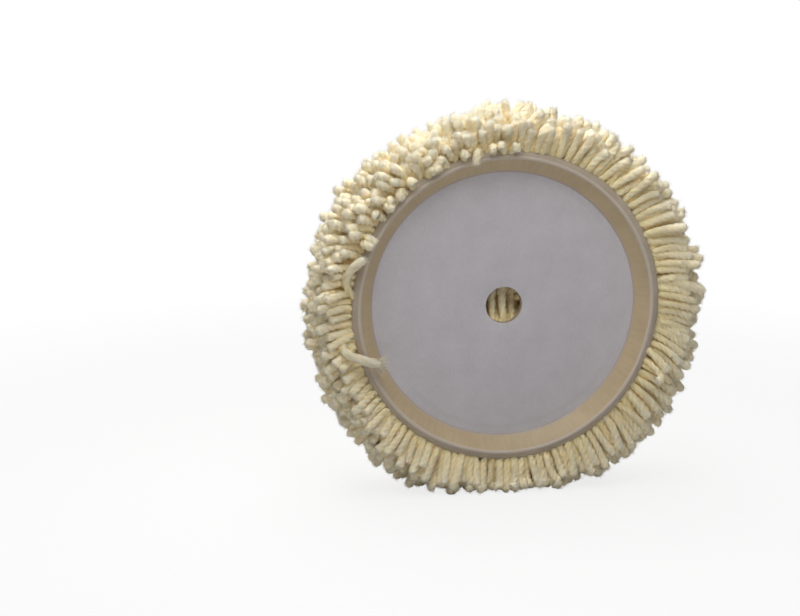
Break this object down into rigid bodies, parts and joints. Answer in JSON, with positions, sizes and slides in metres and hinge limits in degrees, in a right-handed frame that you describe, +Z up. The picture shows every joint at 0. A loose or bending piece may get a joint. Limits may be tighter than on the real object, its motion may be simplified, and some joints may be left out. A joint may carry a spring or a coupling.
{
  "type": "wool polishing pad",
  "caption": "Round wool polishing pad with twisted yarn tufts on a dished cloth, a latex cup and a recessed white loop disc with a centring hole for a polisher's backing plate.",
  "frame": {"origin": "centre of the loop disc's outer face, on the spin axis, at the mouth of the centring hole", "axes": "spin axis along Y: the recess for the backing plate opens towards -Y and the wool face looks along +Y; +Z is up, with the pad standing on the flattened edge of its pile"},
  "size_m": [0.2356, 0.0477, 0.2259],
  "materials": {
    "loop": "brushed nylon loop",
    "glue": "hot-melt film",
    "board": "pressed fibre board",
    "latex": "moulded latex, slightly see-through",
    "cloth": "latex-coated cotton canvas",
    "binding": "latex-coated edge tape",
    "wool": "twisted wool yarn"
  },
  "bodies": {
    "root": {"loop_disc": "loop", "loop_film": "glue", "stiffener_board": "board", "board_film": "glue", "latex_cup": "latex", "backing_cloth": "cloth", "edge_binding": "binding", "face_tufts_1": "wool", "face_tufts_2": "wool", "face_tufts_3": "wool", "face_tufts_4": "wool", "face_tufts_5": "wool", "face_tufts_6": "wool", "face_tufts_7": "wool", "shoulder_tufts_1": "wool", "shoulder_tufts_2": "wool", "side_tufts_1": "wool", "side_tufts_2": "wool", "side_tufts_3": "wool"}
  },
  "joints": []
}
